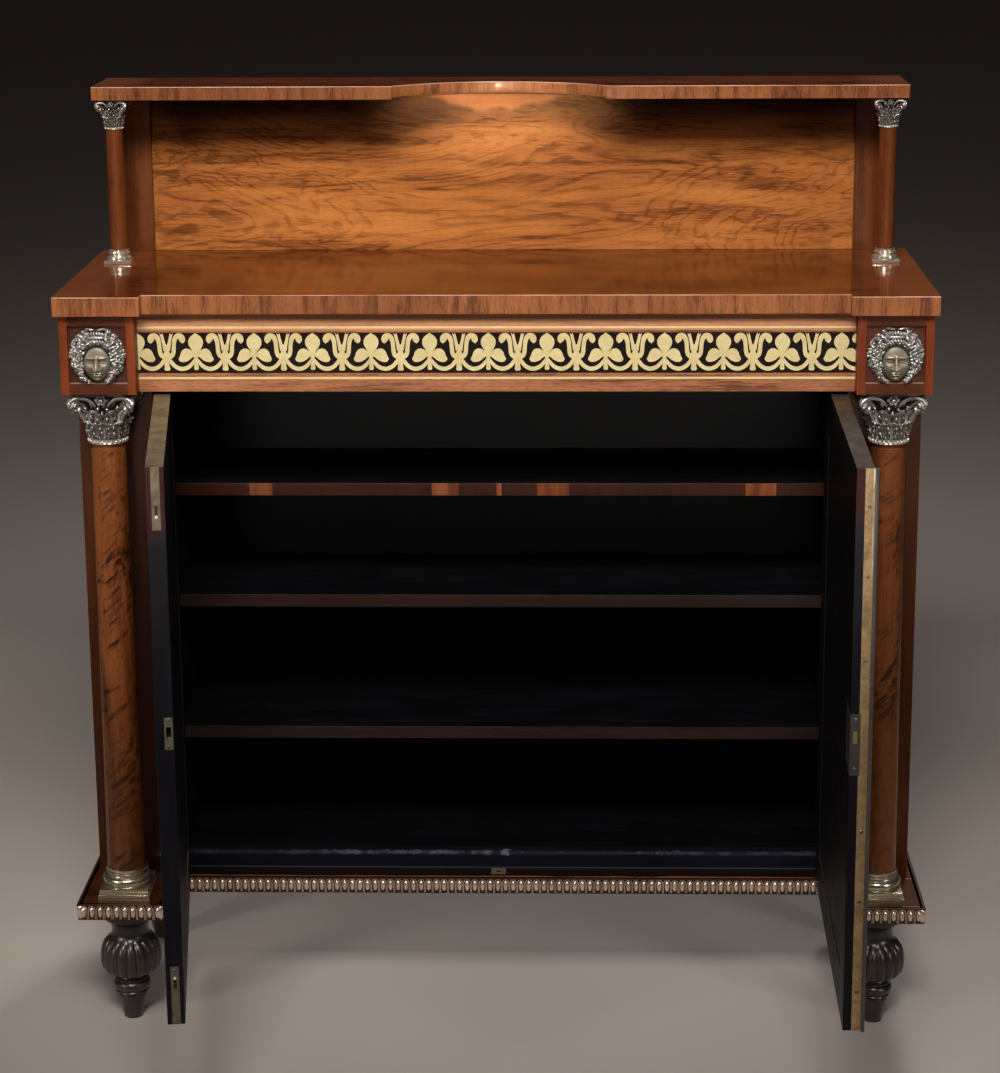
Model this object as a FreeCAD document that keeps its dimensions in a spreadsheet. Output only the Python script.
import FreeCAD, Part
import os
import Sketcher
from types import SimpleNamespace

# A Regency chiffonier: a low two-door cabinet with a gallery shelf, brass mounts and turned feet.
# X runs to the right, Y to the back and Z up. The origin is on the floor, on the centre line, in the
# plane of the frieze blocks' fronts. All lengths are millimetres and all angles degrees.
# The doors stand open. Everything on a door is drawn in the door's own frame, with its origin at the
# hinge pin, and is then turned about that pin.

SIZES = (
    ("top_width", 1120, "main top, end to end"),
    ("top_height", 1015, "floor to the main top's surface"),
    ("top_thick", 25, "main top"),
    ("top_lip", 11, "main top's end blocks in front of the frieze blocks"),
    ("top_side_lip", 5, "main top beyond the frieze blocks' outer sides"),
    ("top_block", 111, "main top's end block, side to side"),
    ("top_break", 16, "main top's centre behind its end blocks"),
    ("top_back_lip", 3, "main top behind the case"),
    ("case_depth", 352, "frieze blocks' fronts to the back of the case"),
    ("case_side_lip", 4, "main top beyond the case's sides"),
    ("block_width", 96.5, "frieze block, side to side"),
    ("frieze_high", 103.8, "frieze, top to bottom"),
    ("frieze_back", 21, "frieze rail behind the frieze blocks"),
    ("frieze_thick", 20, "frieze rail"),
    ("cove_high", 9.4, "cove along the top of the frieze"),
    ("cove_deep", 10, "cove along the top of the frieze"),
    ("strip_high", 16.3, "plain strip along the bottom of the frieze"),
    ("line_high", 2.8, "brass line"),
    ("fillet_high", 5.2, "wood fillet between a brass line and the inlay ground"),
    ("ground_high", 52.8, "black inlay ground"),
    ("inlay_thick", 1.5, "inlaid ground and brass lines"),
    ("panel_side", 74.6, "sunk square in a frieze block"),
    ("panel_sunk", 6, "depth of the sunk square"),
    ("mask_width", 72, "mask mount"),
    ("mask_high", 71, "mask mount"),
    ("mask_deep", 17, "mask mount, back to the tip of the relief"),
    ("mask_hair_deep", 11, "cushion of hair in the mask mount"),
    ("mask_hair_bevel", 6.6, "bevel round the cushion of hair"),
    ("face_bow", 6.7, "bow of each quarter of the face's outline"),
    ("face_bevel", 6, "bevel round the face"),
    ("face_width", 42, "face in the mask mount"),
    ("face_high", 56, "face in the mask mount"),
    ("column_bay", 107.5, "frieze blocks' fronts to the front of the case"),
    ("column_ahead", 48.5, "column axis behind the frieze blocks' fronts"),
    ("shaft_top", 44.5, "column shaft's diameter at the top"),
    ("shaft_foot", 51.6, "column shaft's diameter at the bottom"),
    ("neck_high", 6, "dark neck under the capital"),
    ("neck_width", 41, "dark neck's diameter"),
    ("capital_high", 72.2, "column capital with its bottom ring"),
    ("capital_width", 83.8, "abacus, side to side"),
    ("abacus_high", 9, "abacus"),
    ("abacus_hollow", 5, "hollow in each side of the abacus"),
    ("abacus_corner", 12, "cut corner of the abacus"),
    ("bell_foot", 45, "capital's bell, diameter at the bottom"),
    ("bell_lip", 70, "capital's bell, diameter at the top"),
    ("ring_width", 52.3, "ring under the capital's bell"),
    ("ring_high", 6, "ring under the capital's bell"),
    ("base_plinth", 69.4, "column base's square plinth"),
    ("base_plinth_high", 15, "column base's square plinth"),
    ("base_plinth_step", 2, "step in the column base's plinth"),
    ("base_torus", 65.5, "column base's torus, diameter"),
    ("base_torus_high", 13, "column base's torus"),
    ("base_collar", 54, "column base's upper rings, diameter"),
    ("base_high", 39, "column base, plinth to the shaft"),
    ("foot_high", 162, "floor to the underside of the platform"),
    ("foot_bulb", 83, "foot's bulb, diameter"),
    ("foot_bulb_at", 87, "height of the bulb's widest place"),
    ("foot_bulb_low", 67, "height of the bulb's underside"),
    ("foot_shoulder_at", 124, "height of the shoulder over the bulb"),
    ("foot_neck", 50, "foot's neck, diameter"),
    ("foot_flange", 62, "flange under the platform, diameter"),
    ("foot_flange_high", 10, "flange under the platform"),
    ("reed_deep", 5, "valley between two reeds on a foot's bulb"),
    ("reed_valley", 5.2, "valley between two reeds, width"),
    ("foot_collar", 51, "collar under the bulb, diameter"),
    ("foot_collar_low", 38, "height of the collar's underside"),
    ("foot_collar_high", 22, "collar under the bulb"),
    ("foot_peg", 39, "peg's diameter at the top"),
    ("foot_toe", 26, "peg's diameter on the floor"),
    ("rear_foot_in", 48.5, "rear feet's axis in front of the back of the case"),
    ("platform_thick", 22, "platform and its beaded edge"),
    ("platform_side", 6, "platform beyond the case's sides"),
    ("platform_front", 6, "platform blocks' fronts behind the frieze blocks'"),
    ("platform_nose", 8.5, "platform's centre in front of the case"),
    ("platform_block", 105, "platform block, side to side"),
    ("bead_proud", 7, "beaded edge in front of the platform"),
    ("bead_round", 6, "rounding of the beaded edge"),
    ("stile_width", 98.65, "front stile beside a door"),
    ("side_thick", 18, "side panel"),
    ("cheek_thick", 18, "inner cheek"),
    ("cheek_lap", 11.35, "inner cheek inside the stile's edge"),
    ("back_thick", 8, "back boards"),
    ("back_board", 139, "one back board, side to side"),
    ("dust_thick", 12, "dust board over the interior"),
    ("floor_thick", 16, "bottom board"),
    ("rail_high", 24.5, "bottom rail"),
    ("rail_thick", 18, "bottom rail and header rail"),
    ("rail_round", 7, "rounded top of the bottom rail"),
    ("header_high", 24, "header rail"),
    ("shelf_thick", 17.5, "shelf"),
    ("shelf_back", 20, "shelf's front behind the door stops"),
    ("shelf_gap", 0.5, "shelf's clearance to a cheek and to the back"),
    ("upper_shelf_at", 730.5, "height of the upper shelf's surface"),
    ("middle_shelf_at", 573.5, "height of the middle shelf's surface"),
    ("lower_shelf_at", 384, "height of the lower shelf's surface"),
    ("peg_width", 8, "shelf peg's diameter"),
    ("peg_in", 10, "shelf peg's length in the cheek"),
    ("peg_out", 14, "shelf peg's length under the shelf"),
    ("peg_from_edge", 30, "shelf peg to the shelf's front or back edge"),
    ("door_thick", 21.3, "door"),
    ("door_head_gap", 5.2, "door to the frieze above it"),
    ("door_foot_gap", 2, "door to the platform below it"),
    ("door_stop_gap", 1.2, "closed door to the rails behind it"),
    ("door_meet_gap", 2, "one closed door to the other"),
    ("hinge_gap", 2, "door's edge to the stile"),
    ("knuckle_ahead", 5, "hinge pin in front of the doors' faces"),
    ("left_open", 82.2, "left door's angle from closed"),
    ("right_open", 89, "right door's angle from closed"),
    ("door_member", 55, "door frame's stiles and rails, width"),
    ("door_panel_thick", 13, "door panel"),
    ("door_panel_in", 1.5, "door panel behind the frame's inner face"),
    ("moulding_width", 9, "brass moulding round the door panel"),
    ("moulding_proud", 2, "brass moulding in front of the door's face"),
    ("moulding_round", 2.5, "rounding of the brass moulding"),
    ("hinge_high", 64, "hinge, top to bottom"),
    ("hinge_from_end", 70, "hinge to the door's top or bottom"),
    ("hinge_leaf", 0.9, "hinge leaf, thickness"),
    ("hinge_leaf_deep", 16, "hinge leaf on the door's edge"),
    ("knuckle_width", 6.8, "hinge knuckle's diameter"),
    ("pin_width", 3.2, "hinge pin's diameter"),
    ("pin_clearance", 0.05, "running fit of a pin in its knuckle, on the radius"),
    ("knuckle_slack", 0.3, "gap between two knuckles"),
    ("brass_plate", 1.5, "thickness of the plates let into the doors' edges"),
    ("bolt_plate_width", 10, "flush bolt's face plate, width"),
    ("bolt_plate_long", 75.3, "flush bolt's face plate, length"),
    ("bolt_plate_in", 6, "flush bolt's face plate behind the door's face"),
    ("bolt_bar_width", 6, "flush bolt's bar, across the door"),
    ("bolt_bar_deep", 5, "flush bolt's bar, into the door"),
    ("bolt_bar_long", 64, "flush bolt's bar"),
    ("bolt_travel", 12, "flush bolt's travel"),
    ("bolt_room", 2, "room past the end of a shot bolt"),
    ("bolt_knob", 3.6, "flush bolt's knob, diameter"),
    ("bolt_knob_in", 4, "flush bolt's knob to the end of the bar"),
    ("slide_clearance", 0.15, "sliding fit of a bolt"),
    ("lock_at", 510.5, "height of the lock's lower end"),
    ("lock_high", 76.2, "lock"),
    ("lock_deep", 52, "lock, from the door's edge inwards"),
    ("lock_thick", 12, "lock, across the door"),
    ("lock_bolt_at", 39.5, "lock bolt's underside over the lock's lower end"),
    ("lock_bolt_high", 15, "lock bolt"),
    ("lock_bolt_thick", 5, "lock bolt, across the door"),
    ("lock_bolt_long", 28, "lock bolt"),
    ("lock_bolt_travel", 8, "lock bolt's travel"),
    ("keyhole_in", 30, "keyhole to the door's edge"),
    ("keyhole_at", 34, "keyhole over the lock's lower end"),
    ("keyhole_width", 5, "round part of the keyhole"),
    ("keyhole_slot", 9, "keyhole's slot below the round part"),
    ("escutcheon_width", 20, "keyhole escutcheon"),
    ("escutcheon_high", 32, "keyhole escutcheon"),
    ("escutcheon_thick", 1, "keyhole escutcheon"),
    ("strike_long", 40, "strike plate"),
    ("strike_margin", 0.6, "hole in the strike round the lock's bolt"),
    ("strip_width", 11, "cover strip on the door's edge"),
    ("strip_bead", 9, "cover strip's bead, across the closed doors' joint"),
    ("strip_lap", 4, "cover strip's bead beyond the door's edge"),
    ("strip_proud", 4.6, "cover strip's bead in front of the door's face"),
    ("strip_round", 2, "rounding of the cover strip's bead"),
    ("strip_clearance", 0.4, "cover strip's bead to the other door's face"),
    ("keeper_side", 20, "bolt keeper, side to side"),
    ("gallery_top", 1254.6, "floor to the gallery shelf's surface"),
    ("gallery_shelf_thick", 18, "gallery shelf"),
    ("gallery_shelf_width", 1090, "gallery shelf, end to end"),
    ("gallery_shelf_front", 231, "gallery shelf's front behind the frieze blocks' fronts"),
    ("hollow_width", 286, "hollow in the gallery shelf's front"),
    ("hollow_step", 4, "square step at each end of the hollow"),
    ("hollow_deep", 60, "hollow in the gallery shelf's front"),
    ("hollow_thinner", 2.6, "gallery shelf's edge in the hollow, thinner than the shelf"),
    ("hollow_relief", 12, "thinned strip behind the hollow's edge"),
    ("gallery_panel_half", 486, "gallery back panel, half its width"),
    ("gallery_panel_thick", 8, "gallery back panel"),
    ("gallery_pilaster", 49, "gallery pilaster, width"),
    ("gallery_pilaster_proud", 3.5, "gallery pilaster in front of the panel"),
    ("gallery_column_in", 25, "gallery column's axis to the gallery shelf's end"),
    ("gallery_column_back", 23, "gallery column's axis behind the gallery shelf's front"),
    ("gallery_shaft", 23.5, "gallery column's diameter"),
    ("gallery_capital", 41.6, "gallery capital, side to side"),
    ("gallery_capital_high", 40.6, "gallery capital"),
    ("gallery_abacus_high", 6, "gallery capital's abacus"),
    ("gallery_plinth", 36.3, "gallery column base's square plinth"),
    ("gallery_plinth_high", 4, "gallery column base's square plinth"),
    ("gallery_base_ring", 32, "gallery column base's ring, diameter"),
    ("gallery_base_high", 18, "gallery column base"),
    ("cutter_over", 1, "how far a cutter runs past the faces that it cuts through"),
)
BACK_BOARDS = 7
FOOT_REEDS = 18
OUTWARDS = -0.29  # rise of a quarter-round, as a share of its radius, on a loop that runs anticlockwise
SAME_PLANE = 0.1  # how near to a plane an edge lies to be picked as one in it

doc = FreeCAD.newDocument("Chiffonier")
sheet = doc.addObject("Spreadsheet::Sheet", "Sizes")
nodes = []


class Size:
    """A length kept as a live expression on the sheet, with its present value."""

    def __init__(self, text, value):
        self.text = text
        self.value = value

    def __add__(self, other):
        other = as_size(other)
        return Size(f"({self.text} + {other.text})", self.value + other.value)

    def __sub__(self, other):
        other = as_size(other)
        return Size(f"({self.text} - {other.text})", self.value - other.value)

    def __mul__(self, other):
        other = as_size(other)
        return Size(f"({self.text} * {other.text})", self.value * other.value)

    def __truediv__(self, other):
        other = as_size(other)
        return Size(f"({self.text} / {other.text})", self.value / other.value)

    def __neg__(self):
        return Size(f"(0 - {self.text})", -self.value)

    def __rsub__(self, other):
        return as_size(other) - self

    __radd__ = __add__
    __rmul__ = __mul__


def as_size(value):
    """Take a plain number as a fixed size."""
    return value if isinstance(value, Size) else Size(repr(float(value)), float(value))


S = SimpleNamespace()
for row, (alias, number, meaning) in enumerate(SIZES, start=1):
    sheet.set(f"A{row}", meaning)
    sheet.set(f"B{row}", str(number))
    sheet.setAlias(f"B{row}", alias)
    setattr(S, alias, Size(f"Sizes.{alias}", float(number)))
doc.recompute()


# ---- drawing helpers --------------------------------------------------------------------------

def bind(item, prop, size):
    """Bind one property to a size."""
    item.setExpression(prop, as_size(size).text)


def place(item, x=0, y=0, z=0, turn=None):
    """Bind an object's place, and its turn about the vertical."""
    bind(item, "Placement.Base.x", x)
    bind(item, "Placement.Base.y", y)
    bind(item, "Placement.Base.z", z)
    if turn is not None:
        bind(item, "Placement.Rotation.Angle", turn)
    return item


def keep(item, label):
    """Name a finished sub-part and put it on the list of files."""
    item.Label = label
    nodes.append(item)
    return item


def span(one, other):
    """Two limits in rising order."""
    one, other = as_size(one), as_size(other)
    return (one, other) if one.value <= other.value else (other, one)


def block(label, x, y, z):
    """A square-edged piece between pairs of limits along X, Y and Z."""
    item = doc.addObject("Part::Box", label)
    for prop, axis, (low, high) in zip(("Length", "Width", "Height"), "xyz", (span(*x), span(*y), span(*z))):
        bind(item, prop, high - low)
        bind(item, f"Placement.Base.{axis}", low)
    return item


def rod(label, width, x, y, z, along="z"):
    """A round bar; the limits along its axis are a pair, the other two places are single."""
    item = doc.addObject("Part::Cylinder", label)
    bind(item, "Radius", as_size(width) / 2)
    limits = {"x": x, "y": y, "z": z}
    low, high = span(*limits[along])
    bind(item, "Height", high - low)
    limits[along] = low
    turns = {"x": FreeCAD.Rotation(FreeCAD.Vector(0, 1, 0), 90),
             "y": FreeCAD.Rotation(FreeCAD.Vector(1, 0, 0), -90),
             "z": FreeCAD.Rotation()}
    item.Placement = FreeCAD.Placement(FreeCAD.Vector(), turns[along])
    place(item, limits["x"], limits["y"], limits["z"])
    return item


def cut(label, base, *tools):
    """The base with every tool taken out of it."""
    item = doc.addObject("Part::Cut", label)
    item.Base = base
    item.Tool = tools[0] if len(tools) == 1 else group(label + "_cutters", *tools)
    return item


def join(label, *pieces):
    """Pieces that the maker joined into one solid."""
    item = doc.addObject("Part::MultiFuse", label)
    item.Shapes = list(pieces)
    item.Refine = True
    return item


def group(label, *pieces):
    """Separate solids that share one file."""
    item = doc.addObject("Part::Compound", label)
    item.Links = list(pieces)
    return item


def add_sketch(body, label, plane, offset=0):
    """A sketch on one of the body's own planes, moved along the plane's normal."""
    sketch = body.newObject("Sketcher::SketchObject", label)
    support = [item for item in body.Origin.OriginFeatures if item.Role == plane][0]
    sketch.AttachmentSupport = (support, [""])
    sketch.MapMode = "FlatFace"
    bind(sketch, "AttachmentOffset.Base.z", offset)
    return sketch


def add_loop(sketch, points):
    """A closed loop in a sketch. A point (x, y) ends a line; (x, y, rise) ends an arc, whose height
    over its chord is rise, to the left of the way the loop runs (or to the right when negative)."""
    ends, constraints, sizes = [], [], []
    for index, point in enumerate(points):
        x, y = as_size(point[0]), as_size(point[1])
        from_x, from_y = (as_size(value) for value in points[index - 1][:2])
        start = FreeCAD.Vector(from_x.value, from_y.value, 0)
        end = FreeCAD.Vector(x.value, y.value, 0)
        if len(point) == 2:
            edge = sketch.addGeometry(Part.LineSegment(start, end), False)
            ends.append((edge, 1, 2))
        else:
            rise = as_size(point[2])
            chord = end - start
            normal = FreeCAD.Vector(-chord.y, chord.x, 0).normalize()
            middle = (start + end) * 0.5 + normal * rise.value
            backwards = rise.value > 0
            arc = Part.Arc(end, middle, start) if backwards else Part.Arc(start, middle, end)
            edge = sketch.addGeometry(arc, False)
            ends.append((edge, 2, 1) if backwards else (edge, 1, 2))
            across = (x - from_x) * (x - from_x) + (y - from_y) * (y - from_y)
            radius = (across / 4 + rise * rise) / (rise * (2 if backwards else -2))
            constraints.append(Sketcher.Constraint("Radius", edge, radius.value))
            sizes.append(radius)
        head = ends[-1][2]
        constraints.append(Sketcher.Constraint("DistanceX", -1, 1, edge, head, x.value))
        constraints.append(Sketcher.Constraint("DistanceY", -1, 1, edge, head, y.value))
        sizes += [x, y]
    first = sketch.ConstraintCount
    sketch.addConstraint(constraints)
    for number, size in enumerate(sizes, start=first):
        bind(sketch, f"Constraints[{number}]", size)
    sketch.addConstraint([Sketcher.Constraint("Coincident", ends[index - 1][0], ends[index - 1][2],
                                              ends[index][0], ends[index][1])
                          for index in range(len(ends))])


def padded(label, plane, offset, length, *loops):
    """A body padded from a sketch along the plane's normal."""
    body = doc.addObject("PartDesign::Body", label)
    sketch = add_sketch(body, label + "_outline", plane, offset)
    for loop in loops:
        add_loop(sketch, loop)
    pad = body.newObject("PartDesign::Pad", label + "_pad")
    pad.Profile = sketch
    bind(pad, "Length", length)
    return body


def plan(label, z, *loops):
    """A body with its outline seen from above, between two heights."""
    return padded(label, "XY_Plane", z[0], as_size(z[1]) - z[0], *loops)


def section(label, x, *loops):
    """A body with one section, drawn in Y and Z, all the way between two places along X."""
    return padded(label, "YZ_Plane", x[0], as_size(x[1]) - x[0], *loops)


def turned(label, profile):
    """A body turned about its own vertical axis from radius and height."""
    body = doc.addObject("PartDesign::Body", label)
    sketch = add_sketch(body, label + "_profile", "XZ_Plane")
    add_loop(sketch, profile)
    turning = body.newObject("PartDesign::Revolution", label + "_turning")
    turning.Profile = sketch
    turning.ReferenceAxis = (sketch, ["V_Axis"])
    turning.Angle = 360
    return body


def round_edges(body, radius, wanted):
    """Round the edges of a body that the test picks out."""
    doc.recompute()
    base = body.Tip
    names = [f"Edge{number}" for number, edge in enumerate(base.Shape.Edges, start=1) if wanted(edge)]
    fillet = body.newObject("PartDesign::Fillet", body.Name + "_rounding")
    fillet.Base = (base, names)
    bind(fillet, "Radius", radius)
    return body


# ---- places that several pieces share ---------------------------------------------------------

SIDES = (("left", -1), ("right", 1))
over = S.cutter_over

top_under = S.top_height - S.top_thick
frieze_under = top_under - S.frieze_high
block_outer = S.top_width / 2 - S.top_side_lip
block_inner = block_outer - S.block_width
column_x = block_outer - S.block_width / 2
column_y = S.column_ahead
case_outer = S.top_width / 2 - S.case_side_lip
case_front = S.column_bay
stop_front = case_front + S.door_thick + S.door_stop_gap
back_inside = S.case_depth - S.back_thick
platform_top = S.foot_high + S.platform_thick
stile_inner = case_outer - S.stile_width
cheek_inner = stile_inner - S.cheek_lap

pin_x = stile_inner - S.hinge_gap / 2
pin_y = case_front - S.knuckle_ahead
door_low = platform_top + S.door_foot_gap
door_high = frieze_under - S.door_head_gap
# Across a leaf, seen from its hinge pin: the hinge edge, the closing edge, the outer and inner face.
leaf_start = S.hinge_gap / 2
leaf_end = pin_x - S.door_meet_gap / 2
leaf_face = S.knuckle_ahead
leaf_inside = S.knuckle_ahead + S.door_thick

bolt_mid = leaf_face + S.bolt_plate_in + S.bolt_plate_width / 2
lock_mid = leaf_inside - S.lock_thick / 2
lock_top = S.lock_at + S.lock_high


# ---- tops and gallery -------------------------------------------------------------------------

def main_top():
    """Break-front top: its end blocks stand forward over the columns."""
    half = S.top_width / 2
    inner = half - S.top_block
    front = -S.top_lip
    centre = front + S.top_break
    back = S.case_depth + S.top_back_lip
    keep(plan("main_top_board", (top_under, S.top_height),
              [(-half, front), (-inner, front), (-inner, centre), (inner, centre),
               (inner, front), (half, front), (half, back), (-half, back)]), "main_top")


def gallery():
    """Top shelf with a hollow front, its back panel, pilasters and two small columns."""
    half = S.gallery_shelf_width / 2
    under = S.gallery_top - S.gallery_shelf_thick
    front = S.gallery_shelf_front
    back = S.case_depth + S.top_back_lip
    hollow = S.hollow_width / 2
    step = front + S.hollow_step
    bow = S.hollow_deep - S.hollow_step
    board = plan("gallery_shelf_board", (under, S.gallery_top),
                 [(-half, front), (-hollow, front), (-hollow, step), (hollow, step, bow),
                  (hollow, front), (half, front), (half, back), (-half, back)])
    thinned = plan("hollow_underside", (under - over, under + S.hollow_thinner),
                   [(-hollow, front - over), (hollow, front - over), (hollow, step + S.hollow_relief),
                    (-hollow, step + S.hollow_relief, -bow)])
    keep(cut("gallery_shelf_thinned", board, thinned), "gallery_shelf")
    panel_front = back - S.gallery_panel_thick
    panel_half = S.gallery_panel_half
    keep(block("gallery_panel_board", (-panel_half, panel_half), (panel_front, back),
               (S.top_height, under)), "gallery_back_panel")
    pilasters = [block(f"{side}_gallery_pilaster", (hand * panel_half, hand * (panel_half + S.gallery_pilaster)),
                       (panel_front - S.gallery_pilaster_proud, back), (S.top_height, under))
                 for side, hand in SIDES]
    keep(group("gallery_pilaster_pair", *pilasters), "gallery_pilasters")
    axis_x = half - S.gallery_column_in
    axis_y = front + S.gallery_column_back
    shaft_low = S.top_height + S.gallery_base_high
    shaft_high = under - S.gallery_capital_high
    mounts = []
    for side, hand in SIDES:
        radius = S.gallery_shaft / 2
        shaft = turned(f"{side}_gallery_shaft", [(0, shaft_low), (radius, shaft_low),
                                                 (radius, shaft_high), (0, shaft_high)])
        keep(place(shaft, hand * axis_x, axis_y), f"{side}_gallery_column")
        mounts.append(place(gallery_capital(side, shaft_high, under), hand * axis_x, axis_y))
        mounts.append(place(gallery_base(side), hand * axis_x, axis_y))
    keep(group("gallery_mounts", *mounts), "gallery_column_mounts")


def gallery_capital(side, low, high):
    """Small capital: a flaring bell under a square abacus."""
    half = S.gallery_capital / 2
    abacus_low = high - S.gallery_abacus_high
    shaft = S.gallery_shaft / 2
    ring = shaft * 1.17
    ring_top = low + S.gallery_capital_high * 0.08
    waist = low + S.gallery_capital_high * 0.47
    bell = turned(f"{side}_gallery_bell",
                  [(0, low), (ring, low), (ring, ring_top), (shaft, ring_top), (shaft * 1.09, waist),
                   (half * 0.86, abacus_low), (0, abacus_low)])
    abacus = block(f"{side}_gallery_abacus", (-half, half), (-half, half), (abacus_low, high))
    return join(f"{side}_gallery_capital", bell, abacus)


def gallery_base(side):
    """Small base: a thin square plinth under two turned rings."""
    half = S.gallery_plinth / 2
    low = S.top_height
    plinth_top = low + S.gallery_plinth_high
    high = low + S.gallery_base_high
    shaft = S.gallery_shaft / 2
    ring = S.gallery_base_ring / 2
    tall = high - plinth_top
    middle = plinth_top + tall / 2
    upper = plinth_top + tall * 0.78
    rings = turned(f"{side}_gallery_rings",
                   [(0, plinth_top), (ring, plinth_top), (ring, plinth_top + tall * 0.22), (ring * 0.81, middle),
                    (shaft * 1.09, middle), (shaft * 1.09, upper), (shaft * 1.25, upper), (shaft * 1.17, high),
                    (0, high)])
    plinth = block(f"{side}_gallery_plinth", (-half, half), (-half, half), (low, plinth_top))
    return join(f"{side}_gallery_base", plinth, rings)


# ---- frieze -----------------------------------------------------------------------------------

def frieze():
    """Frieze rail with shallow grooves for the black ground and the two brass lines."""
    front = S.frieze_back
    groove = front + S.inlay_thick
    back = front + S.frieze_thick
    low_line = frieze_under + S.strip_high
    ground_low = low_line + S.line_high + S.fillet_high
    ground_high = ground_low + S.ground_high
    high_line = ground_high + S.fillet_high
    cove_low = top_under - S.cove_high
    bands = ((low_line, low_line + S.line_high), (ground_low, ground_high), (high_line, high_line + S.line_high))
    profile = [(back, frieze_under), (back, top_under), (front + S.cove_deep, top_under),
               (front, cove_low, S.cove_high * 0.27)]
    for low, high in reversed(bands):
        profile += [(front, high), (groove, high), (groove, low), (front, low)]
    profile.append((front, frieze_under))
    ends = (-block_inner, block_inner)
    keep(section("frieze_rail_board", ends, profile), "frieze_rail")
    lines = [block(f"brass_line_{place_name}", ends, (front, groove), band)
             for place_name, band in (("lower", bands[0]), ("upper", bands[2]))]
    keep(group("brass_line_pair", *lines), "frieze_brass_lines")
    keep(block("ground_strip", ends, (front, groove), bands[1]), "frieze_ground")


def frieze_blocks():
    """Block over each column, with a sunk square that holds a mask mount."""
    middle = frieze_under + S.frieze_high / 2
    half = S.panel_side / 2
    masks = []
    for side, hand in SIDES:
        whole = block(f"{side}_block_whole", (hand * block_inner, hand * block_outer), (0, stop_front),
                      (frieze_under, top_under))
        square = block(f"{side}_block_square", (hand * column_x - half, hand * column_x + half),
                       (-over, S.panel_sunk), (middle - half, middle + half))
        keep(cut(f"{side}_block_sunk", whole, square), f"{side}_frieze_block")
        masks.append(place(mask(side), hand * column_x, S.panel_sunk, middle))
    keep(group("mask_pair", *masks), "mask_mounts")


def mask(side):
    """Mask mount: an oval face in high relief on a round cushion of hair, flat at the back."""
    radius, arch = S.mask_width / 2, -S.mask_high / 2
    hair = padded(f"{side}_mask_hair", "XZ_Plane", 0, S.mask_hair_deep, [(-radius, 0, arch), (radius, 0, arch)])
    chamfer_front(hair, S.mask_hair_bevel, -S.mask_hair_deep)
    half, rise, bow = S.face_width / 2, S.face_high / 2, -S.face_bow
    face = padded(f"{side}_mask_face", "XZ_Plane", 0, S.mask_deep,
                  [(-half, 0, bow), (0, rise, bow), (half, 0, bow), (0, -rise, bow)])
    chamfer_front(face, S.face_bevel, -S.mask_deep)
    return join(f"{side}_mask", hair, face)


def chamfer_front(body, size, front):
    """Bevel the edges of a padded body that lie in its front face."""
    doc.recompute()
    base = body.Tip
    names = [f"Edge{number}" for number, edge in enumerate(base.Shape.Edges, start=1)
             if edge.BoundBox.YMax < front.value + SAME_PLANE]
    bevel = body.newObject("PartDesign::Chamfer", body.Name + "_bevel")
    bevel.Base = (base, names)
    bind(bevel, "Size", size)


# ---- columns ----------------------------------------------------------------------------------

def columns():
    """Free-standing columns: a tapered shaft between a brass base and a brass capital."""
    shaft_low = platform_top + S.base_high
    capital_low = frieze_under - S.capital_high
    taper_high = capital_low - S.neck_high
    for side, hand in SIDES:
        x = hand * column_x
        shaft = turned(f"{side}_shaft_turned",
                       [(0, shaft_low), (S.shaft_foot / 2, shaft_low), (S.shaft_top / 2, taper_high),
                        (S.neck_width / 2, taper_high), (S.neck_width / 2, capital_low), (0, capital_low)])
        keep(place(shaft, x, column_y), f"{side}_column_shaft")
        keep(place(capital(side, capital_low), x, column_y), f"{side}_column_capital")
        keep(place(base(side, shaft_low), x, column_y), f"{side}_column_base")


def capital(side, low):
    """Brass capital: a ring, a flaring bell and an abacus with hollow sides and cut corners."""
    ring_top = low + S.ring_high
    abacus_low = frieze_under - S.abacus_high
    foot, lip = S.bell_foot / 2, S.bell_lip / 2
    flare = [(foot + (lip - foot) * out, ring_top + (abacus_low - ring_top) * up)
             for out, up in ((0, 0), (0.1, 0.4), (0.42, 0.76), (1, 1))]
    bell = turned(f"{side}_bell",
                  [(0, low), (S.ring_width / 2, low), (S.ring_width / 2, ring_top), *flare, (0, abacus_low)])
    half = S.capital_width / 2
    corner = half - S.abacus_corner
    corners = [(-corner, -half), (corner, -half, S.abacus_hollow), (half, -corner), (half, corner, S.abacus_hollow),
               (corner, half), (-corner, half, S.abacus_hollow), (-half, corner), (-half, -corner, S.abacus_hollow)]
    abacus = plan(f"{side}_abacus", (abacus_low, frieze_under), corners)
    return join(f"{side}_capital", bell, abacus)


def base(side, high):
    """Brass base: a stepped square plinth, a torus and rings up to the shaft."""
    low = platform_top
    half = S.base_plinth / 2
    plinth_top = low + S.base_plinth_high
    upper_half = half - S.base_plinth_step
    split = low + S.base_plinth_high * 0.6
    torus_top = plinth_top + S.base_torus_high
    bulge = S.base_torus_high * 0.31
    torus = S.base_torus / 2 - bulge
    collar, neck = S.base_collar / 2, S.base_collar * 0.46
    tall = high - torus_top
    rings = turned(f"{side}_base_rings",
                   [(0, plinth_top), (torus, plinth_top), (torus, torus_top, -bulge), (collar, torus_top),
                    (neck, torus_top + tall * 0.4), (neck, torus_top + tall * 0.64),
                    (collar, torus_top + tall * 0.64), (collar, high), (0, high)])
    lower = block(f"{side}_base_lower", (-half, half), (-half, half), (low, split))
    upper = block(f"{side}_base_upper", (-upper_half, upper_half), (-upper_half, upper_half), (split, plinth_top))
    return join(f"{side}_base", lower, upper, rings)


# ---- platform and feet ------------------------------------------------------------------------

platform_outer = case_outer + S.platform_side
platform_inner = platform_outer - S.platform_block
platform_centre = case_front - S.platform_nose


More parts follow.
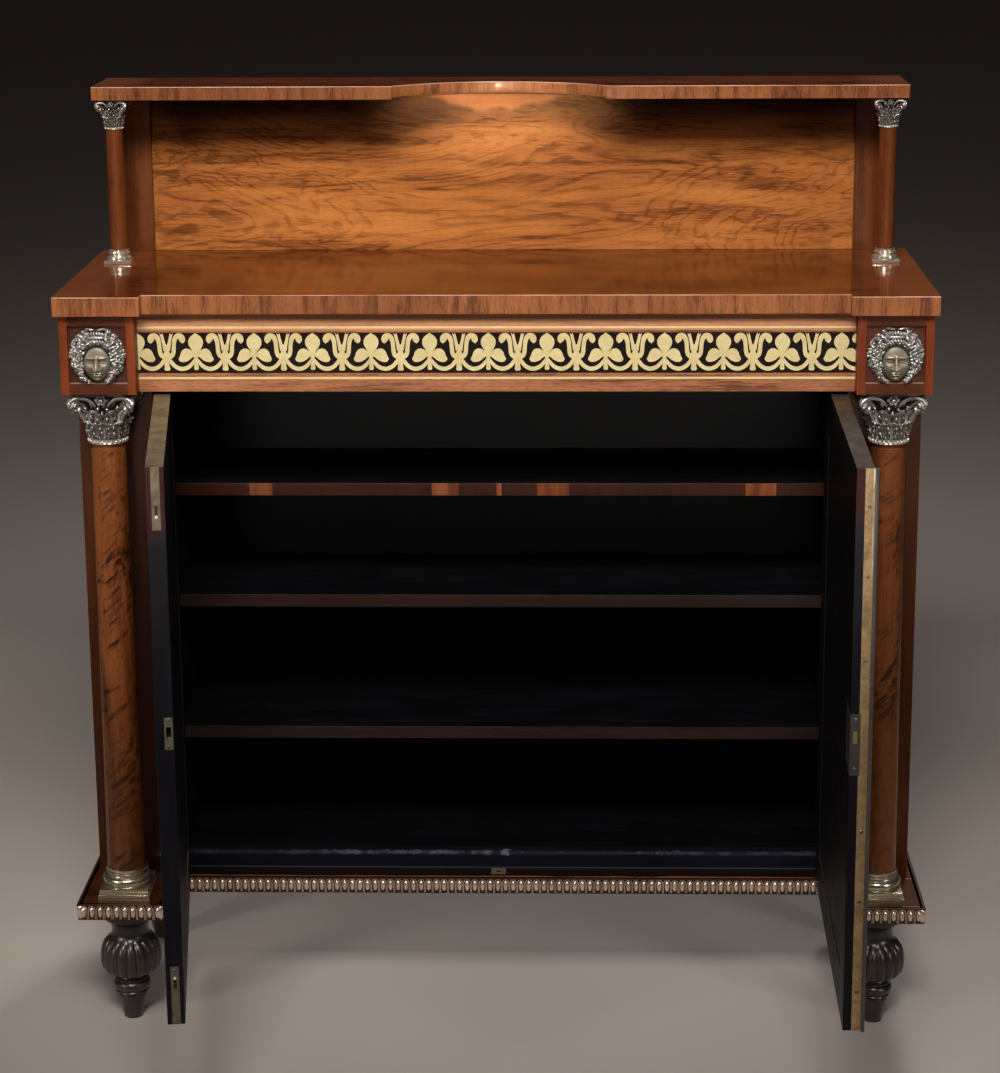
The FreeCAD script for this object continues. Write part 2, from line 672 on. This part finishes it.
def platform():
    """Platform board with a block in front of it under each column, and the beaded edges."""
    board = block("platform_whole", (-platform_outer, platform_outer), (platform_centre, S.case_depth),
                  (S.foot_high, platform_top))
    keeper = bolt_place(platform_top - S.brass_plate, platform_top + over, S.keeper_side / 2, "platform_seat")
    hole = bolt_hole((door_low - S.bolt_travel - S.bolt_room, platform_top + over), "platform_hole")
    keep(cut("platform_cut", board, keeper, hole), "platform_board")
    for side, hand in SIDES:
        keep(block(f"{side}_platform_square", (hand * platform_inner, hand * platform_outer),
                   (S.platform_front, platform_centre), (S.foot_high, platform_top)), f"{side}_platform_block")
    bead_front = S.platform_front - S.bead_proud
    proud = S.bead_proud
    heights = (S.foot_high, platform_top)
    edges = []
    for side, hand in SIDES:
        inner, outer = hand * platform_inner, hand * platform_outer
        edge = plan(f"{side}_bead", heights,
                    [(inner, platform_centre), (inner - hand * proud, platform_centre),
                     (inner - hand * proud, bead_front), (outer + hand * proud, bead_front),
                     (outer + hand * proud, S.case_depth), (outer, S.case_depth),
                     (outer, S.platform_front), (inner, S.platform_front)])
        edges.append(round_edges(edge, S.bead_round, outer_arris))
    inside = platform_inner - proud
    front, radius, arch = platform_centre - proud, S.bead_round, S.bead_round * OUTWARDS
    edges.append(section("centre_bead", (-inside, inside),
                         [(front + radius, S.foot_high, arch), (platform_centre, S.foot_high),
                          (platform_centre, platform_top), (front + radius, platform_top),
                          (front, platform_top - radius, arch), (front, S.foot_high + radius)]))
    keep(group("bead_edges", *edges), "beaded_edge")


def outer_arris(edge):
    """Whether an edge is an outer arris of a beaded edge, clear of the wood behind it."""
    box = edge.BoundBox
    proud = S.bead_proud.value
    at_front = box.YMax < S.platform_front.value - proud + SAME_PLANE
    far = max(abs(box.XMin), abs(box.XMax))
    near = min(abs(box.XMin), abs(box.XMax))
    at_side = near > platform_outer.value + proud - SAME_PLANE
    at_return = far < platform_inner.value - proud + SAME_PLANE
    return box.ZLength < SAME_PLANE and (at_front or at_side or at_return)


def feet():
    """Four turned feet with a reeded bulb, a collar and a tapered peg."""
    places = (("front", column_y), ("rear", S.case_depth - S.rear_foot_in))
    for row, y in places:
        for side, hand in SIDES:
            name = f"{row}_{side}_foot"
            keep(place(reed(foot(name)), hand * column_x, y), name)


def foot(name):
    """One turned foot, from its toe up to the flange under the platform."""
    toe, peg, collar, bulb, neck, flange = (width / 2 for width in (S.foot_toe, S.foot_peg, S.foot_collar,
                                                                    S.foot_bulb, S.foot_neck, S.foot_flange))
    collar_low, collar_high = S.foot_collar_low, S.foot_collar_low + S.foot_collar_high
    low, widest, shoulder = S.foot_bulb_low, S.foot_bulb_at, S.foot_shoulder_at
    flange_low = S.foot_high - S.foot_flange_high
    waist = neck * 1.12
    crown = [(bulb - (bulb - waist) * inwards, widest + (shoulder - widest) * up)
             for inwards, up in ((0, 0), (0.2, 0.42), (1, 1))]
    profile = [(0, 0), (toe, 0), (peg * 0.95, collar_low * 0.63), (peg, collar_low * 0.8), (peg * 0.9, collar_low),
               (collar * 0.8, collar_low), (collar, collar_low + S.foot_collar_high * 0.32),
               (collar, collar_low + S.foot_collar_high * 0.6), (collar * 0.76, collar_high), (collar * 0.8, low),
               (bulb * 0.91, low + (widest - low) * 0.37), *crown,
               (neck, shoulder + (flange_low - shoulder) * 0.12), (neck, flange_low),
               (flange, flange_low + S.foot_flange_high * 0.4), (flange, S.foot_high), (0, S.foot_high)]
    return turned(f"{name}_turned", profile)


def reed(body):
    """Cut the valleys between the bulb's reeds: one upright notch, repeated round the foot's axis."""
    doc.recompute()
    bulb, half = S.foot_bulb / 2, S.reed_valley / 2
    sketch = add_sketch(body, body.Name + "_valley_outline", "XY_Plane")
    add_loop(sketch, [(bulb - S.reed_deep, 0), (bulb + over, -half), (bulb + over, half)])
    valley = body.newObject("PartDesign::Pocket", body.Name + "_valley")
    valley.Profile = sketch
    valley.Reversed = True
    bind(valley, "Length", S.foot_shoulder_at)
    reeds = body.newObject("PartDesign::PolarPattern", body.Name + "_reeds")
    reeds.Originals = [valley]
    reeds.Axis = (sketch, ["N_Axis"])
    reeds.Angle = 360
    reeds.Occurrences = FOOT_REEDS
    body.Tip = reeds
    return body


# ---- case -------------------------------------------------------------------------------------

def case():
    """Sides, front stiles, inner cheeks, back, floor, dust board and the rails that stop the doors."""
    for side, hand in SIDES:
        keep(block(f"{side}_side_board", (hand * (case_outer - S.side_thick), hand * case_outer),
                   (stop_front, S.case_depth), (platform_top, top_under)), f"{side}_side_panel")
        keep(block(f"{side}_stile_board", (hand * stile_inner, hand * case_outer), (case_front, stop_front),
                   (platform_top, frieze_under)), f"{side}_front_stile")
        cheek = block(f"{side}_cheek_board", (hand * cheek_inner, hand * (cheek_inner + S.cheek_thick)),
                      (stop_front, back_inside), (platform_top, frieze_under))
        keep(cut(f"{side}_cheek_drilled", cheek, *peg_holes(side, hand)), f"{side}_inner_cheek")
    keep(group("back_board_set", *back_pieces()), "back_boards")
    dust = block("dust_whole", (-block_inner, block_inner), (S.frieze_back + S.frieze_thick, back_inside),
                 (frieze_under, frieze_under + S.dust_thick))
    keeper = bolt_place(frieze_under - over, frieze_under + S.brass_plate, S.keeper_side / 2, "dust_seat")
    hole = bolt_hole((frieze_under - over, door_high + S.bolt_travel + S.bolt_room), "dust_hole")
    keep(cut("dust_cut", dust, keeper, hole), "dust_board")
    inside = (-cheek_inner, cheek_inner)
    rail_back = stop_front + S.rail_thick
    keep(block("floor_board", inside, (rail_back, back_inside), (platform_top, platform_top + S.floor_thick)),
         "bottom_board")
    rail_top = platform_top + S.rail_high
    keep(section("bottom_rail_bar", inside,
                 [(stop_front, platform_top), (rail_back, platform_top), (rail_back, rail_top),
                  (stop_front + S.rail_round, rail_top), (stop_front, rail_top - S.rail_round, S.rail_round * OUTWARDS)]),
         "bottom_rail")
    keep(block("header_bar", inside, (stop_front, rail_back), (frieze_under - S.header_high, frieze_under)),
         "header_rail")


def back_pieces():
    """Upright back boards side by side, and a wider stile at each end."""
    heights = (platform_top, top_under)
    depth = (back_inside, S.case_depth)
    pieces = []
    for number in range(BACK_BOARDS):
        start = S.back_board * (number - BACK_BOARDS / 2)
        pieces.append(block(f"back_board_{number + 1}", (start, start + S.back_board), depth, heights))
    outer = case_outer - S.side_thick
    for side, hand in SIDES:
        pieces.append(block(f"{side}_back_stile", (hand * S.back_board * (BACK_BOARDS / 2), hand * outer), depth, heights))
    return pieces


SHELVES = (("upper", S.upper_shelf_at), ("middle", S.middle_shelf_at), ("lower", S.lower_shelf_at))
shelf_front = stop_front + S.shelf_back
peg_rows = (shelf_front + S.peg_from_edge, back_inside - S.peg_from_edge)


def shelves():
    """Three loose shelves, each on four wooden pegs."""
    half = cheek_inner - S.shelf_gap
    pegs = []
    for name, top in SHELVES:
        under = top - S.shelf_thick
        keep(block(f"{name}_shelf_board", (-half, half), (shelf_front, back_inside - S.shelf_gap), (under, top)),
             f"{name}_shelf")
        for side, hand in SIDES:
            for row, y in zip(("front", "rear"), peg_rows):
                pegs.append(rod(f"{name}_{side}_{row}_peg", S.peg_width,
                                (hand * (cheek_inner - S.peg_out), hand * (cheek_inner + S.peg_in)),
                                y, under - S.peg_width / 2, along="x"))
    keep(group("peg_set", *pegs), "shelf_pegs")


def peg_holes(side, hand):
    """Drills for one cheek's peg holes."""
    return [rod(f"{name}_{side}_{row}_hole", S.peg_width, (hand * (cheek_inner - over), hand * (cheek_inner + S.peg_in)),
                y, top - S.shelf_thick - S.peg_width / 2, along="x")
            for name, top in SHELVES for row, y in zip(("front", "rear"), peg_rows)]


# ---- doors ------------------------------------------------------------------------------------

def hang(item, hand):
    """Hang a piece, drawn about its hinge pin, in the doorway at the door's open angle."""
    angle = -S.left_open if hand < 0 else S.right_open
    return place(item, hand * pin_x, pin_y, 0, angle)


def across(hand, start, end):
    """Limits along a leaf, measured from the hinge pin towards the closing edge."""
    return (-hand * as_size(start), -hand * as_size(end))


def doors():
    """Two framed doors with their hinges, bolts and lock."""
    for side, hand in SIDES:
        member = S.door_member
        heights = (door_low, door_high)
        inner_heights = (door_low + member, door_high - member)
        inner = across(hand, leaf_start + member, leaf_end - member)
        faces = (leaf_face, leaf_inside)
        whole = block(f"{side}_frame_whole", across(hand, leaf_start, leaf_end), faces, heights)
        window = block(f"{side}_frame_window", inner, (leaf_face - over, leaf_inside + over), inner_heights)
        seats = left_door_seats() if hand < 0 else right_door_seats()
        keep(hang(cut(f"{side}_frame_cut", whole, window, *seats), hand), f"{side}_door_frame")
        panel_back = leaf_inside - S.door_panel_in
        panel = group(f"{side}_panel_hung",
                      block(f"{side}_panel_board", inner, (panel_back - S.door_panel_thick, panel_back), inner_heights))
        keep(hang(panel, hand), f"{side}_door_panel")
        keep(hang(door_moulding(side, hand, panel_back - S.door_panel_thick), hand), f"{side}_door_moulding")
        keep(hang(moving_leaves(side, hand), hand), f"{side}_hinge_door_leaves")
    fixed = [place(fixed_leaf(side, hand, end, low), hand * pin_x, pin_y)
             for side, hand in SIDES for end, low in hinge_places()]
    keep(group("fixed_leaves", *fixed), "hinge_frame_leaves")


def door_moulding(side, hand, seat):
    """Brass moulding round the panel, in the corner between frame and panel, with a rounded front."""
    front = leaf_face - S.moulding_proud
    loops = []
    for inset in (S.door_member, S.door_member + S.moulding_width):
        near, far = across(hand, leaf_start + inset, leaf_end - inset)
        low, high = door_low + inset, door_high - inset
        loops.append([(near, low), (far, low), (far, high), (near, high)])
    ring = padded(f"{side}_moulding_ring", "XZ_Plane", -seat, seat - front, *loops)
    return round_edges(ring, S.moulding_round, lambda edge: edge.BoundBox.YMax < front.value + SAME_PLANE)


def hinge_places():
    """The lower end of each hinge on a door."""
    return (("lower", door_low + S.hinge_from_end), ("upper", door_high - S.hinge_from_end - S.hinge_high))


def leaf_plate(name, hand, low, ways):
    """Hinge leaf beside the pin: ways is 1 on the door's side of the pin and -1 on the stile's."""
    near = S.hinge_gap / 2 - S.hinge_leaf
    clear = S.knuckle_width / 2 + S.slide_clearance
    far = leaf_face + S.hinge_leaf_deep
    return block(f"{name}_plate", across(hand, near * ways, near * ways + S.hinge_leaf * ways), (clear, far),
                 (low, low + S.hinge_high))


def leaf_tab(name, hand, heights, ways):
    """Tab that joins a leaf to its own knuckle."""
    near = S.hinge_gap / 2 - S.hinge_leaf
    start = S.pin_width / 2 + S.pin_clearance + S.slide_clearance
    return block(f"{name}_tab", across(hand, near * ways, near * ways + S.hinge_leaf * ways),
                 (start, S.knuckle_width / 2 + S.slide_clearance), heights)


def moving_leaves(side, hand):
    """Door leaves of both hinges, each with the bored middle knuckle."""
    leaves = []
    for end, low in hinge_places():
        name = f"{side}_{end}_door_leaf"
        heights = (low + S.hinge_high / 3 + S.knuckle_slack, low + S.hinge_high * (2 / 3) - S.knuckle_slack)
        knuckle = rod(f"{name}_knuckle", S.knuckle_width, 0, 0, heights)
        solid = join(f"{name}_solid", leaf_plate(name, hand, low, 1), leaf_tab(name, hand, heights, 1), knuckle)
        bore = rod(f"{name}_bore", S.pin_width + S.pin_clearance * 2, 0, 0, (low, low + S.hinge_high))
        leaves.append(cut(name, solid, bore))
    return group(f"{side}_door_leaves", *leaves)


def fixed_leaf(side, hand, end, low):
    """Frame leaf with its two outer knuckles and the pin that is riveted in them."""
    name = f"{side}_{end}_frame_leaf"
    third = S.hinge_high / 3
    high = low + S.hinge_high
    pieces = [leaf_plate(name, hand, low, -1), rod(f"{name}_pin", S.pin_width, 0, 0, (low, high))]
    for number, heights in enumerate(((low, low + third), (high - third, high))):
        pieces.append(rod(f"{name}_knuckle_{number}", S.knuckle_width, 0, 0, heights))
        pieces.append(leaf_tab(f"{name}_{number}", hand, heights, -1))
    return join(name, *pieces)


# ---- flush bolts in the left door's closing edge ------------------------------------------------

LEFT = -1
RIGHT = 1
BOLTS = (("top", 1, door_high), ("bottom", -1, door_low))
bar_outer = leaf_end - S.brass_plate
bar_inner = bar_outer - S.bolt_bar_deep
bar_faces = (bolt_mid - S.bolt_bar_width / 2, bolt_mid + S.bolt_bar_width / 2)


def bolt_place(low, high, half, label):
    """A square seat over or under the closed left door's bolts, in the case's own frame."""
    middle_x = -pin_x + bar_outer - S.bolt_bar_deep / 2
    middle_y = pin_y + bolt_mid
    return block(label, (middle_x - half, middle_x + half), (middle_y - half, middle_y + half), (low, high))


def bolt_hole(heights, label):
    """The hole that a shot bolt enters, in the case's own frame."""
    margin = S.slide_clearance * 4
    return block(label, (-pin_x + bar_inner - margin, -pin_x + bar_outer + margin),
                 (pin_y + bar_faces[0] - margin, pin_y + bar_faces[1] + margin), heights)


def bolt_keepers():
    """Brass keeper plates let into the dust board and the platform."""
    plates = []
    for name, low, high in (("upper", frieze_under, frieze_under + S.brass_plate),
                            ("lower", platform_top - S.brass_plate, platform_top)):
        plate = bolt_place(low, high, S.keeper_side / 2, f"{name}_keeper_plate")
        plates.append(cut(f"{name}_keeper", plate, bolt_hole((low - over, high + over), f"{name}_keeper_hole")))
    keep(group("keeper_pair", *plates), "bolt_keepers")


def left_door_seats():
    """Cuts in the left door's closing edge for the bolt plates, the bars and the strike."""
    seats = []
    gap = S.slide_clearance
    for name, way, end in BOLTS:
        plate_end = end - way * S.bolt_plate_long
        seats.append(block(f"{name}_plate_seat", across(LEFT, leaf_end - S.brass_plate, leaf_end + over),
                           plate_faces(), (end + over * way, plate_end)))
        channel_end = end - way * (S.bolt_bar_long + gap)
        seats.append(block(f"{name}_bar_channel", across(LEFT, bar_inner - gap, leaf_end),
                           (bar_faces[0] - gap, bar_faces[1] + gap), (end + over * way, channel_end)))
    seats.append(block("strike_seat", across(LEFT, leaf_end - S.brass_plate, leaf_end + over), strike_faces(),
                       strike_heights()))
    seats.append(block("strike_pocket", across(LEFT, leaf_end - S.lock_bolt_travel - S.bolt_room, leaf_end),
                       *strike_hole_limits()))
    return seats


def plate_faces():
    """A bolt plate's limits across the door."""
    return (bolt_mid - S.bolt_plate_width / 2, bolt_mid + S.bolt_plate_width / 2)


def strike_faces():
    """The strike plate's limits across the door."""
    return (lock_mid - S.bolt_plate_width / 2, lock_mid + S.bolt_plate_width / 2)


def strike_heights():
    """The strike plate's limits in height, about the lock's bolt."""
    middle = S.lock_at + S.lock_bolt_at + S.lock_bolt_high / 2
    return (middle - S.strike_long / 2, middle + S.strike_long / 2)


def strike_hole_limits():
    """Limits across the door and in height of the hole for the lock's bolt."""
    low = S.lock_at + S.lock_bolt_at
    margin = S.strike_margin
    return ((lock_mid - S.lock_bolt_thick / 2 - margin, lock_mid + S.lock_bolt_thick / 2 + margin),
            (low - margin, low + S.lock_bolt_high + margin))


def left_door_brass():
    """Face plates with a slot for the knob, the strike plate, and the two sliding bolts."""
    plates = []
    gap = S.slide_clearance
    for name, way, end in BOLTS:
        plate = block(f"{name}_plate_whole", across(LEFT, leaf_end - S.brass_plate, leaf_end), plate_faces(),
                      (end, end - way * S.bolt_plate_long))
        knob_z = end - way * (S.bolt_bar_long - S.bolt_knob_in)
        half = S.bolt_knob / 2
        slot = block(f"{name}_plate_slot", across(LEFT, leaf_end - S.brass_plate - over, leaf_end + over),
                     (bolt_mid - half - gap, bolt_mid + half + gap),
                     (knob_z - way * (half + gap), knob_z + way * (half + gap + S.bolt_travel)))
        plates.append(cut(f"{name}_plate", plate, slot))
        bar = block(f"{name}_bolt_bar", across(LEFT, bar_inner, bar_outer - gap), bar_faces,
                    (end, end - way * S.bolt_bar_long))
        knob = rod(f"{name}_bolt_knob", S.bolt_knob, across(LEFT, bar_outer - over, leaf_end), bolt_mid, knob_z,
                   along="x")
        keep(hang(join(f"{name}_bolt", bar, knob), LEFT), f"{name}_flush_bolt")
    strike = block("strike_whole", across(LEFT, leaf_end - S.brass_plate, leaf_end), strike_faces(),
                   strike_heights())
    hole = block("strike_hole", across(LEFT, leaf_end - S.brass_plate - over, leaf_end + over), *strike_hole_limits())
    plates.append(cut("strike_plate", strike, hole))
    keep(hang(group("left_edge_brass", *plates), LEFT), "left_edge_plates")


# ---- lock and cover strip on the right door -----------------------------------------------------

def lock_bolt_limits(gap):
    """Limits across the door and in height of the lock's bolt, with a gap all round."""
    low = S.lock_at + S.lock_bolt_at
    return ((lock_mid - S.lock_bolt_thick / 2 - gap, lock_mid + S.lock_bolt_thick / 2 + gap),
            (low - gap, low + S.lock_bolt_high + gap))


def keyhole(name, faces):
    """Keyhole: a round hole with a slot under it."""
    middle = leaf_end - S.keyhole_in
    z = S.lock_at + S.keyhole_at
    slot_half = S.keyhole_width / 4
    hole = rod(f"{name}_round", S.keyhole_width, -middle, faces, z, along="y")
    slot = block(f"{name}_slot", (-middle - slot_half, -middle + slot_half), faces, (z - S.keyhole_slot, z))
    return join(name, hole, slot)


def right_door_seats():
    """Cuts in the right door for the lock, the keyhole and the cover strip."""
    lock = block("lock_seat", across(RIGHT, leaf_end - S.lock_deep, leaf_end + over),
                 (leaf_inside - S.lock_thick, leaf_inside + over), (S.lock_at, lock_top))
    strip = block("strip_seat", across(RIGHT, leaf_end - S.brass_plate, leaf_end + over),
                  (leaf_face - over, leaf_face + S.strip_width), (door_low - over, door_high + over))
    return [lock, strip, keyhole("frame_keyhole", (leaf_face - over, leaf_inside - S.lock_thick + over))]


def right_door_brass():
    """Lock with its sliding bolt, keyhole escutcheon, and the strip that covers the doors' joint."""
    whole = block("lock_whole", across(RIGHT, leaf_end - S.lock_deep, leaf_end),
                  (leaf_inside - S.lock_thick, leaf_inside), (S.lock_at, lock_top))
    tunnel = block("lock_tunnel", across(RIGHT, leaf_end - S.lock_bolt_long - S.slide_clearance, leaf_end + over),
                   *lock_bolt_limits(S.slide_clearance))
    keep(hang(cut("lock_cut", whole, tunnel), RIGHT), "lock_case")
    bolt = group("lock_bolt_hung", block("lock_bolt_bar", across(RIGHT, leaf_end - S.lock_bolt_long, leaf_end),
                                         *lock_bolt_limits(0)))
    keep(hang(bolt, RIGHT), "lock_bolt")
    middle = leaf_end - S.keyhole_in
    z = S.lock_at + S.keyhole_at - S.keyhole_slot / 3
    half, rise = S.escutcheon_width / 2, S.escutcheon_high / 2
    bow = -S.escutcheon_width / 5
    plate = padded("escutcheon_plate", "XZ_Plane", -leaf_face, S.escutcheon_thick,
                   [(-middle, z + rise, bow), (-middle - half, z, bow), (-middle, z - rise, bow),
                    (-middle + half, z, bow)])
    pierced = cut("escutcheon_pierced", plate,
                  keyhole("plate_keyhole", (leaf_face - S.escutcheon_thick - over, leaf_face + over)))
    keep(hang(pierced, RIGHT), "keyhole_escutcheon")
    keep(hang(cover_strip(), RIGHT), "cover_strip")


def cover_strip():
    """Brass strip: a flat on the edge and a bead that laps over the other door, cut away at the lock."""
    flat_in = leaf_end - S.brass_plate
    bead_in = leaf_end + S.strip_lap - S.strip_bead
    bead_out = leaf_end + S.strip_lap
    bead_front = leaf_face - S.strip_proud
    lap_back = leaf_face - S.strip_clearance
    radius, arch = S.strip_round, S.strip_round * OUTWARDS
    outline = [(-leaf_end, leaf_face + S.strip_width), (-flat_in, leaf_face + S.strip_width),
               (-flat_in, leaf_face), (-bead_in, leaf_face), (-bead_in, bead_front + radius),
               (-(bead_in + radius), bead_front, -arch), (-(bead_out - radius), bead_front),
               (-bead_out, bead_front + radius, -arch), (-bead_out, lap_back), (-leaf_end, lap_back)]
    strip = plan("strip_bar", (door_low, door_high), outline)
    step = block("strip_step", across(RIGHT, flat_in - over, leaf_end + over),
                 (leaf_inside - S.lock_thick, leaf_face + S.strip_width + over), (S.lock_at, lock_top))
    return cut("strip_stepped", strip, step)


# ---- build, check and write ---------------------------------------------------------------------

def check():
    """Stop if any object failed or any sub-part has no sound solid."""
    for item in doc.Objects:
        if "Invalid" in item.State or "Error" in item.State:
            raise RuntimeError(f"{item.Label} failed: {item.State}")
    for item in nodes:
        if item.Shape.isNull() or not item.Shape.isValid() or not item.Shape.Solids:
            raise RuntimeError(f"{item.Label} has no valid solid")


def write():
    """Write each sub-part to its own file."""
    os.makedirs("parts", exist_ok=True)
    for item in nodes:
        item.Shape.exportStep(os.path.join("parts", item.Label + ".step"))


main_top()
gallery()
frieze()
frieze_blocks()
columns()
platform()
feet()
case()
shelves()
doors()
bolt_keepers()
left_door_brass()
right_door_brass()
doc.recompute()
check()
write()
print(len(nodes), "sub-parts,", sum(len(item.Shape.Solids) for item in nodes), "solids")
